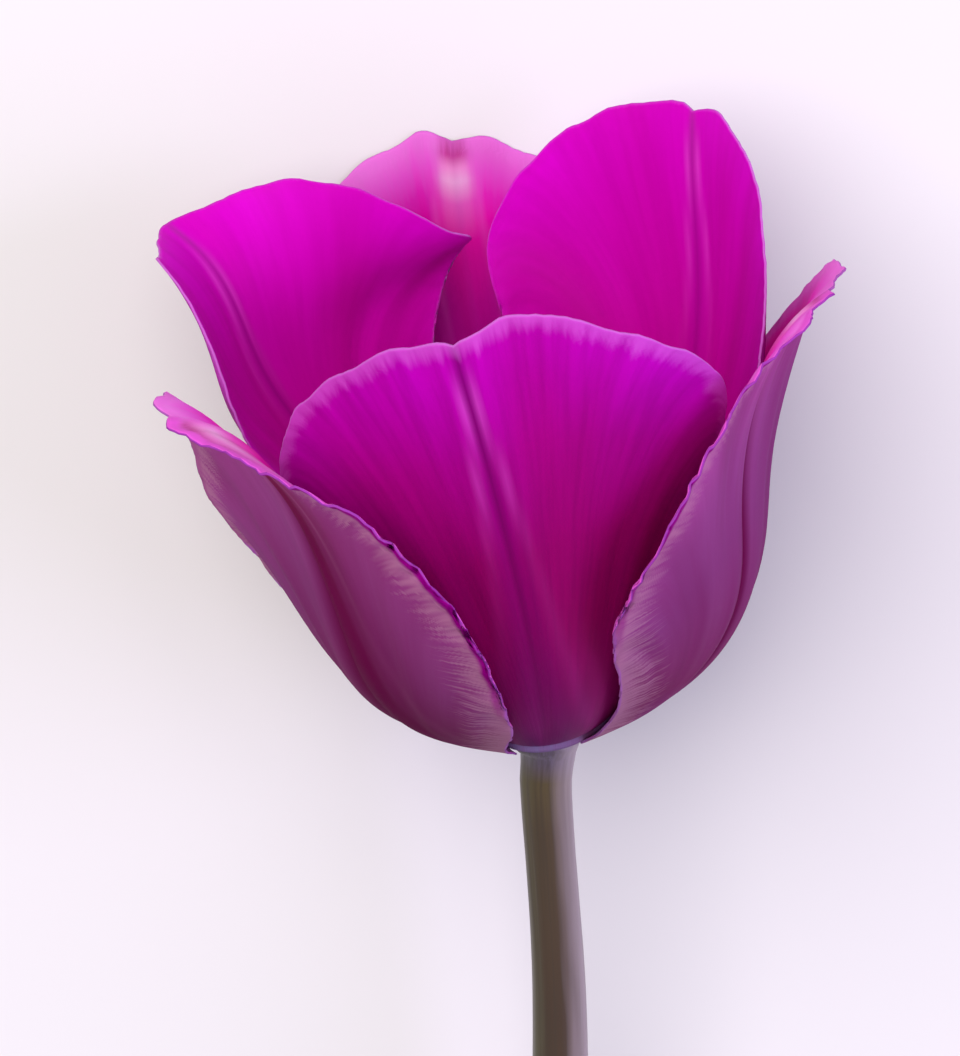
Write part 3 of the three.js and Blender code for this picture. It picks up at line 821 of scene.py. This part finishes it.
def turnPiece(name, profile, segments):  # closed body from pairs of height and radius, in mm along its own Z
    bpy.ops.object.select_all(action="DESELECT")
    bpy.ops.mesh.primitive_circle_add(vertices=segments, radius=1)
    piece = bpy.context.active_object
    piece.name = name
    bpy.ops.object.mode_set(mode="EDIT")
    bpy.ops.mesh.select_all(action="SELECT")
    bpy.ops.mesh.edge_face_add()
    height, radius = profile[0]
    bpy.ops.transform.resize(value=(radius, radius, 1))
    bpy.ops.transform.translate(value=(0, 0, height))
    for nextHeight, nextRadius in profile[1:]:
        bpy.ops.mesh.extrude_region_move(TRANSFORM_OT_translate={"value": (0, 0, nextHeight - height)})
        bpy.ops.transform.resize(value=(nextRadius / radius, nextRadius / radius, 1))
        height, radius = nextHeight, nextRadius
    bpy.ops.mesh.select_all(action="SELECT")
    bpy.ops.mesh.normals_make_consistent(inside=False)
    bpy.ops.object.mode_set(mode="OBJECT")
    bpy.ops.object.shade_smooth()
    return piece


def smoothProfile(points, steps):
    heights, radii = np.array(points, float).T
    share = np.linspace(0, 1, steps + 1)
    heights, radii = through(heights, share), through(radii, share)
    return [(float(height), float(max(radius, closedRadius))) for height, radius in zip(heights, radii)]


def straightPoints(piece):  # the turned body's points in mm, also kept as an attribute for its material
    mesh = piece.data
    flat = np.empty(len(mesh.vertices) * 3)
    mesh.vertices.foreach_get("co", flat)
    layer = mesh.attributes.new("straight", "FLOAT_VECTOR", "POINT")
    layer.data.foreach_set("vector", flat.astype(np.float32))
    return flat.reshape(-1, 3)


def placePoints(piece, points, matrix):
    placed = points * mm @ np.array(matrix.to_3x3()).T + np.array(matrix.translation)
    piece.data.vertices.foreach_set("co", placed.ravel())
    piece.data.update()


def turnedMaterial(name):  # a material that reads the turned body's own points, in mm
    material, tree = newMaterial(name)
    straight = addNode(tree, "ShaderNodeAttribute", attribute_name="straight").outputs["Vector"]
    return material, tree, straight


def cellsOf(width, length):  # cells to a mm each way, for streaks of that size along Z
    return 1 / width, 1 / width, 1 / length


def finishSkin(tree, color, height, depth, finish):  # relief of that depth in mm under a plain shader
    bump = addNode(tree, "ShaderNodeBump", {"Height": height, "Strength": 1.0, "Distance": depth * mm})
    skin = addNode(tree, "ShaderNodeBsdfPrincipled", {
        "Base Color": color, "Normal": bump.outputs[0], **finish})
    addNode(tree, "ShaderNodeOutputMaterial", {"Surface": skin.outputs[0]})


# Stem

stemMake = {
    "length": 180,  # mm, from the receptacle to the cut end
    "neck": 4,  # mm under the receptacle, before the stem turns into its own line
    "aside": 0.8,  # mm, how far that line passes beside the receptacle's centre
    "endRadius": 4.0,  # mm, so that the cut end lies on the floor
    "bow": 4,  # mm, sideways bow halfway along
    "bowPower": 4,  # how much of the bow keeps to the middle
    "knots": (0, 0.15, 0.3, 0.5, 0.7, 0.85),  # of the way from the neck to the end
    "knotSteps": 60,
    "segments": 56,
    "ringStep": 2,  # mm from ring to ring
    # distance below the petals' level and radius, mm; the last pairs run in across the hollowed cut end
    "profile": [
        (-3.0, closedRadius), (-3.0, 1.5), (-3.0, 3.0), (-2.7, 3.5), (-1.7, 3.6), (-1.4, 3.95), (-0.8, 4.0),
        (-0.3, 3.7), (0.4, 3.35), (2, 3.2), (6, 3.1), (14, 3.05), (22, 3.1), (34, 3.3), (48, 3.5), (64, 3.6),
        (80, 3.7), (96, 3.75), (112, 3.8), (128, 3.85), (144, 3.9), (160, 3.95), (171, 4.0), (179.5, 4.0),
        (179.9, 3.9), (180, 3.75), (179.9, 3.5), (179.75, 2.6), (179.6, 1.4), (179.6, 0.5),
        (179.6, closedRadius),
    ],
    "ribs": ((7, 0.010), (11, 0.006), (17, 0.004)),  # number round the stem and height, of the radius
    "ribTwist": 0.02,  # radians to a mm
    "tones": [(0, "#76865A"), (0.1, "#66704A"), (0.4, "#483824"), (0.8, "#3A2A1C"), (0.93, "#403220"),
              (0.965, "#4C4026"), (0.98, "#584C5C")],  # from the cut end up
    "fibers": (0.45, 16),  # mm, width and length of the skin's fine fibres
    "fiberDepth": 0.03,  # mm
    "patches": (2.2, 26),  # mm, of its broad streaks
    "patchWeight": 2.2,  # mm to which they shift the border between the green side and the pale one
    # where each tone starts and is full, its share and the tone; green and the pale bloom, partly a painted
    # highlight, in mm across the stem
    "fiber": (0.42, 0.66, 0.5, "#342A1E"),
    "green": (2.6, 5, 0.4, "#54603E"),
    # the pale side is partly the stem's waxy bloom and partly a painted highlight
    "bloomAndHighlight": (0.6, -2.2, 0.7, "#A4949A"),
    "cutRange": (3.8, 3.6),  # mm, radii between which the skin gives way to the cut
    "cutDepth": (2, 1),  # mm from the end
    "cut": "#B9C49A",
    "strand": (0.34, 0.16, 1, "#7F8E5C"),
    "strandSpacing": 0.7,  # mm, strands seen in the cut end
}


def stemRings(s):
    rings = []
    for (below, radius), (nextBelow, nextRadius) in zip(s["profile"], s["profile"][1:]):
        count = max(int(abs(nextBelow - below) / s["ringStep"]), 1)
        for k in range(count):
            share = k / count
            rings.append((-(below + (nextBelow - below) * share), radius + (nextRadius - radius) * share))
    return rings + [(-s["profile"][-1][0], s["profile"][-1][1])]


def stemLine(s):  # closely spaced points of the stem's middle line, mm
    axis = np.array(axisOf(flowerPose))
    receptacle = np.array(flowerPose["receptacle"])
    neck = receptacle - axis * s["neck"] + np.array([0, s["aside"], 0])
    drop = neck[2] - s["endRadius"]
    run = math.sqrt((s["length"] - s["neck"]) ** 2 - drop ** 2)
    end = np.array([neck[0] - run, neck[1], s["endRadius"]])
    top = -s["profile"][0][0]
    knots = [receptacle + axis * top, receptacle, (receptacle + neck) / 2]
    for share in s["knots"]:
        bow = np.array([0, s["bow"] * math.sin(math.pi * share) ** s["bowPower"], 0])
        knots.append(neck + (end - neck) * share + bow)
    knots.append(end)
    knots = [2 * knots[0] - knots[1]] + knots + [2 * knots[-1] - knots[-2]]

    # one smooth curve through the knots
    line = [knots[1]]
    for a, b, c, d in zip(knots, knots[1:], knots[2:], knots[3:]):
        ab, bc, cd = (np.linalg.norm(q - p) ** 0.5 for p, q in ((a, b), (b, c), (c, d)))
        leave = ((b - a) / ab - (c - a) / (ab + bc) + (c - b) / bc) * bc
        arrive = ((c - b) / bc - (d - b) / (bc + cd) + (d - c) / cd) * bc
        cube = 2 * b - 2 * c + leave + arrive
        square = -3 * b + 3 * c - 2 * leave - arrive
        for k in range(1, s["knotSteps"] + 1):
            f = k / s["knotSteps"]
            line.append(b + leave * f + square * f**2 + cube * f**3)
    return np.array(line)


def makeStem(s):
    stemPiece = turnPiece("stem_skin", stemRings(s), s["segments"])
    x, y, z = straightPoints(stemPiece).T
    angle = np.arctan2(y, x)
    ribs = 1 + sum(height * np.sin(count * angle + s["ribTwist"] * z + count) for count, height in s["ribs"])
    line = stemLine(s)
    walked = np.append(0, np.cumsum(np.linalg.norm(np.diff(line, axis=0), axis=1)))
    top = -s["profile"][0][0]
    at = (top - z) / (top + s["length"]) * walked[-1]
    behind, point, ahead = [
        np.stack([np.interp(at + step, walked, line[:, k]) for k in range(3)], 1) for step in (-0.5, 0, 0.5)]
    back = unit(behind - ahead)
    sideways = unit(np.cross([0, 0, 1], back))
    above = np.cross(back, sideways)
    point = point + above * (-x * ribs)[:, None] + sideways * (y * ribs)[:, None]
    placePoints(stemPiece, point, Matrix.Identity(4))
    stemPiece.data.materials.append(stemSkin(s))
    finishPiece(stemPiece, ["stem"])


def stemSkin(s):  # smooth living skin: olive brown with fine long fibres, a green side and a thin pale bloom on the other side that is partly a painted highlight
    material, tree, straight = turnedMaterial("waxyStem")
    place = addNode(tree, "ShaderNodeSeparateXYZ", {"Vector": straight}).outputs
    top = -s["profile"][0][0]
    fromEnd = addNode(tree, "ShaderNodeMapRange", {
        "Value": place[2], "From Min": -s["length"], "From Max": top})
    toneRamp = addNode(tree, "ShaderNodeValToRGB", {"Fac": fromEnd.outputs[0]})
    fibers = streaks(tree, straight, cellsOf(*s["fibers"]), 3)
    patches = streaks(tree, straight, cellsOf(*s["patches"]), 2)
    side = addNode(tree, "ShaderNodeMath", {0: patches, 1: s["patchWeight"], 2: place[1]},
                   operation="MULTIPLY_ADD").outputs[0]
    color = layOver(tree, rampStops(toneRamp, s["tones"]), (
        (side, *s["green"]), (fibers, *s["fiber"]), (side, *s["bloomAndHighlight"])))

    # the cut end, with its strands
    flat = addNode(tree, "ShaderNodeVectorMath", {0: straight, 1: (1, 1, 0)}, operation="MULTIPLY").outputs[0]
    radius = addNode(tree, "ShaderNodeVectorMath", {0: flat}, operation="LENGTH").outputs["Value"]
    heights = [depth - s["length"] for depth in s["cutDepth"]]
    shares = []
    for value, (start, end) in ((radius, s["cutRange"]), (place[2], heights)):
        share = addNode(tree, "ShaderNodeMapRange", {"Value": value, "From Min": start, "From Max": end})
        shares.append(share.outputs[0])
    onCut = addNode(tree, "ShaderNodeMath", {0: shares[0], 1: shares[1]}, operation="MULTIPLY")
    strands = addNode(tree, "ShaderNodeTexVoronoi", {"Vector": flat, "Scale": 1 / s["strandSpacing"]})
    pith = layOver(tree, hexColor(s["cut"]), ((strands.outputs["Distance"], *s["strand"]),))
    mixed = addNode(tree, "ShaderNodeMix", {"Factor": onCut.outputs[0], "A": color, "B": pith},
                    data_type="RGBA")
    finishSkin(tree, mixed.outputs["Result"], fibers, s["fiberDepth"], {
        "Roughness": 0.46, "Specular IOR Level": 0.35, "Sheen Weight": 0.08, "Sheen Roughness": 0.5})
    return material


makeStem(stemMake)
print("stem made")


# Stamens and pistil

stamenMake = {
    "count": 6,
    "reach": 2.85, "height": 3.3,  # mm, where a filament stands on the receptacle
    "firstAzimuth": 30, "spacing": 60, "lean": 10,  # degrees
    "antherAt": 9.3,  # mm along the filament
    # height and radius along the piece, mm
    "filament": [(-0.6, 0.55), (0, 0.65), (1.5, 0.7), (5, 0.6), (8.6, 0.4), (10.2, 0.25)],
    "anther": [(0, closedRadius), (0.3, 0.7), (2, 1.3), (5, 1.5), (9, 1.4), (12, 1.1), (13.2, 0.6),
               (13.5, closedRadius)],
    "filamentRings": 14, "filamentSegments": 20,
    "antherRings": 36, "antherSegments": 44,
    "filamentBreadth": 1.1,  # of its thickness
    "groove": 0.14,  # of the radius, between the two sacs
    "seam": 0.1, "seamHalf": 0.16,  # of the radius, the slit along each sac, and radians
    "seamStart": (0.5, 2), "seamEnd": (11.5, 13),  # mm
    "dents": ((5 / 2.2, 3, 1, 0.03), (2.9, 7, 2, 0.02)),  # turns along, round and by number, and height
    "bow": 0.25,  # mm
    "grain": 0.16,  # mm, pollen
    "grainHeight": 0.05,  # mm
    "filamentTones": [(0, "#7A5C94"), (0.25, "#3B2450"), (1, "#24143A")],
    "filamentTop": 9,  # mm, height of the last tone
    "fibers": (0.12, 3),  # mm, width and length
    "fiberDepth": 0.02,  # mm
    "fiber": (0.4, 0.65, 0.5, "#5A4078"),  # where it starts and is full, its share and its tone
    "sac": "#4A3A58",
    "pollen": (0.15, 0.6, 1, "#170C1E"),
    "dusting": (0.9, 1.6),  # mm
    "dust": (0.5, 0.7, 0.5, "#6A5E78"),
}

pistilMake = {
    "height": 3.3,  # mm, of its foot above the petals' level
    # height and radius, mm
    "profile": [(-0.7, 1.4), (0.4, 1.6), (1.5, 1.8), (4, 2.4), (7, 2.9), (11, 2.9), (14.5, 2.5), (15.6, 2.4),
                (16.4, 3.3), (17.6, 3.9), (18.8, 3.4), (19.3, 1.8), (18.9, closedRadius)],
    "rings": 72, "segments": 72,
    "corner": 0.08, "lobe": 0.24,  # three corners of the ovary and lobes of the stigma, of the radius
    "crease": 0.03, "creaseHalf": 0.35,  # of the radius, between the corners, and radians
    "stigmaFrom": 15, "stigmaRange": 1.2,  # mm
    "frill": 0.05, "frills": 21,  # of the radius, and their number
    "lobeRise": 0.35, "hollow": 0.5, "hollowRadius": 0.9,  # mm, of the stigma's top
    "papillae": 0.2, "papillaHeight": 0.08,  # mm
    "tones": [(0, "#8C9A60"), (0.4, "#A9B878"), (0.76, "#BCC690"), (0.83, "#E2DCB4"), (1, "#EEE6CC")],
    "top": 19,  # mm, height of the last tone
    "veins": (0.4, 5),  # mm, width and length
    "vein": (0.42, 0.66, 0.4, "#8FA064"),
}


def filamentSkin(s):  # smooth matt stalk, paler at its foot
    material, tree, straight = turnedMaterial("violetFilament")
    along = addNode(tree, "ShaderNodeSeparateXYZ", {"Vector": straight}).outputs[2]
    tonePlace = addNode(tree, "ShaderNodeMapRange", {
        "Value": along, "From Min": 0, "From Max": s["filamentTop"]})
    toneRamp = addNode(tree, "ShaderNodeValToRGB", {"Fac": tonePlace.outputs[0]})
    fibers = streaks(tree, straight, cellsOf(*s["fibers"]), 2)
    color = layOver(tree, rampStops(toneRamp, s["filamentTones"]), ((fibers, *s["fiber"]),))
    finishSkin(tree, color, fibers, s["fiberDepth"], {"Roughness": 0.55, "Specular IOR Level": 0.3})
    return material


def antherSkin(s):  # powdery sac crusted with dark pollen
    material, tree, straight = turnedMaterial("darkPollen")
    cells = addNode(tree, "ShaderNodeTexVoronoi", {"Vector": straight, "Scale": 1 / s["grain"]})
    grains = cells.outputs["Distance"]
    dust = streaks(tree, straight, cellsOf(*s["dusting"]), 2)
    color = layOver(tree, hexColor(s["sac"]), ((grains, *s["pollen"]), (dust, *s["dust"])))
    height = addNode(tree, "ShaderNodeMapRange", {"Value": grains, "From Min": 0.6, "From Max": 0})
    finishSkin(tree, color, height.outputs[0], s["grainHeight"], {
        "Roughness": 0.9, "Specular IOR Level": 0.2})
    return material


def pistilSkin(s):  # waxy pale ovary under a stigma of fine cream papillae
    material, tree, straight = turnedMaterial("waxyOvary")
    along = addNode(tree, "ShaderNodeSeparateXYZ", {"Vector": straight}).outputs[2]
    tonePlace = addNode(tree, "ShaderNodeMapRange", {"Value": along, "From Min": 0, "From Max": s["top"]})
    toneRamp = addNode(tree, "ShaderNodeValToRGB", {"Fac": tonePlace.outputs[0]})
    veins = streaks(tree, straight, cellsOf(*s["veins"]), 2)
    color = layOver(tree, rampStops(toneRamp, s["tones"]), ((veins, *s["vein"]),))
    cells = addNode(tree, "ShaderNodeTexVoronoi", {"Vector": straight, "Scale": 1 / s["papillae"]})
    onStigma = addNode(tree, "ShaderNodeMapRange", {
        "Value": along, "From Min": s["stigmaFrom"], "From Max": s["stigmaFrom"] + 1})
    height = addNode(tree, "ShaderNodeMath", {0: cells.outputs["Distance"], 1: onStigma.outputs[0]},
                     operation="MULTIPLY")
    finishSkin(tree, color, height.outputs[0], s["papillaHeight"], {
        "Roughness": 0.42, "Specular IOR Level": 0.4})
    return material


def angleFrom(angle, middle):  # how far round it is, either way, in radians
    return np.abs(np.angle(np.exp(1j * (angle - middle))))


def makeStamen(s, number, stalkFinish, sacFinish):
    azimuth = math.radians(s["firstAzimuth"] + s["spacing"] * (number - 1))
    foot = Vector((math.cos(azimuth) * s["reach"], math.sin(azimuth) * s["reach"], s["height"])) * mm
    lean = Matrix.Rotation(math.radians(s["lean"]), 4, "Y")
    stand = flowerToWorld @ Matrix.Translation(foot) @ Matrix.Rotation(azimuth, 4, "Z") @ lean
    rings = smoothProfile(s["filament"], s["filamentRings"])
    stalk = turnPiece(f"filament_{number}_skin", rings, s["filamentSegments"])
    points = straightPoints(stalk)
    points[:, 1] *= s["filamentBreadth"]
    placePoints(stalk, points, stand)
    stalk.data.materials.append(stalkFinish)
    finishPiece(stalk, [f"filament_{number}"])

    rings = smoothProfile(s["anther"], s["antherRings"])
    sac = turnPiece(f"anther_{number}_skin", rings, s["antherSegments"])
    points = straightPoints(sac)
    angle = np.arctan2(points[:, 1], points[:, 0])
    z = points[:, 2]
    swell = 1 + s["groove"] * np.cos(2 * angle)
    for middle in (0, math.pi):
        seam = s["seam"] * np.exp(-((angleFrom(angle, middle) / s["seamHalf"]) ** 2))
        swell -= seam * smoothStep(z, *s["seamStart"]) * (1 - smoothStep(z, *s["seamEnd"]))
    for along, around, turn, height in s["dents"]:
        swell += height * np.sin(along * z + around * angle + turn * number)
    points[:, :2] *= swell[:, None]
    length = s["anther"][-1][0]
    points[:, 0] += s["bow"] * np.sin(z / length * math.pi) * math.sin(number * 2.1)
    turned = Matrix.Translation((0, 0, s["antherAt"] * mm)) @ Matrix.Rotation(math.pi / 2, 4, "Z")
    placePoints(sac, points, stand @ turned)
    sac.data.materials.append(sacFinish)
    finishPiece(sac, [f"anther_{number}"])


def makePistil(s):
    piece = turnPiece("pistil_skin", smoothProfile(s["profile"], s["rings"]), s["segments"])
    points = straightPoints(piece)
    angle = np.arctan2(points[:, 1], points[:, 0])
    z = points[:, 2]
    radius = np.hypot(points[:, 0], points[:, 1])
    onStigma = smoothStep(z, s["stigmaFrom"], s["stigmaFrom"] + s["stigmaRange"])
    lobe = s["corner"] + (s["lobe"] - s["corner"]) * onStigma
    crease = s["crease"] * np.exp(-((angleFrom(3 * angle, 0) / s["creaseHalf"]) ** 2))
    swell = 1 + lobe * np.cos(3 * angle) - crease * (1 - onStigma)
    swell += s["frill"] * onStigma * np.sin(s["frills"] * angle + 2 * z) * smoothStep(radius, 1, 3)
    points[:, :2] *= swell[:, None]
    lobes = s["lobeRise"] * np.cos(3 * angle) * smoothStep(radius, 0.6, 3)
    points[:, 2] += onStigma * (lobes - s["hollow"] * np.exp(-radius / s["hollowRadius"]))
    placePoints(piece, points, flowerToWorld @ Matrix.Translation((0, 0, s["height"] * mm)))
    piece.data.materials.append(pistilSkin(s))
    finishPiece(piece, ["pistil"])


stalkFinish, sacFinish = filamentSkin(stamenMake), antherSkin(stamenMake)
for stamenNumber in range(1, stamenMake["count"] + 1):
    makeStamen(stamenMake, stamenNumber, stalkFinish, sacFinish)
makePistil(pistilMake)
print("stamens and pistil made")


# Floor and studio light

studio = {
    "floorSize": 4,  # m
    "floorColor": "#D4D4D0",
    "aim": 0.03,  # m from the receptacle into the cup, where the lamps point
    "skyColor": "#F2F4F8", "skyStrength": 0.56,
    "lamps": {  # direction from the flower, distance in m, size in m, power in W
        "key": {"from": (0.4, 0.28, 0.9), "distance": 0.9, "size": 0.8, "power": 9, "color": "#FFF4FA"},
        "fill": {"from": (-0.1, -0.8, 0.6), "distance": 1.1, "size": 0.8, "power": 8.5, "color": "#D8C8FF"},
    },
}


def makeStudio(s):
    bpy.ops.mesh.primitive_plane_add(size=s["floorSize"])
    floor = bpy.context.active_object
    floor.name = "floor"
    material, tree = newMaterial("paintedFloor")
    skin = addNode(tree, "ShaderNodeBsdfPrincipled", {
        "Base Color": hexColor(s["floorColor"]), "Roughness": 0.8})
    addNode(tree, "ShaderNodeOutputMaterial", {"Surface": skin.outputs[0]})
    floor.data.materials.append(material)
    target = Vector(flowerPose["receptacle"]) * mm + axisOf(flowerPose) * s["aim"]
    for name, lamp in s["lamps"].items():
        direction = Vector(lamp["from"]).normalized()
        bpy.ops.object.light_add(type="AREA", location=target + direction * lamp["distance"])
        light = bpy.context.active_object
        light.name = name
        light.rotation_mode = "QUATERNION"
        light.rotation_quaternion = direction.to_track_quat("Z", "Y")
        light.data.shape = "DISK"
        light.data.size = lamp["size"]
        light.data.energy = lamp["power"]
        light.data.color = hexColor(lamp["color"])[:3]
    world = bpy.data.worlds.new("sky")
    world.use_nodes = True
    background = world.node_tree.nodes["Background"]
    background.inputs["Color"].default_value = hexColor(s["skyColor"])
    background.inputs["Strength"].default_value = s["skyStrength"]
    bpy.context.scene.world = world


makeStudio(studio)
print("studio made")
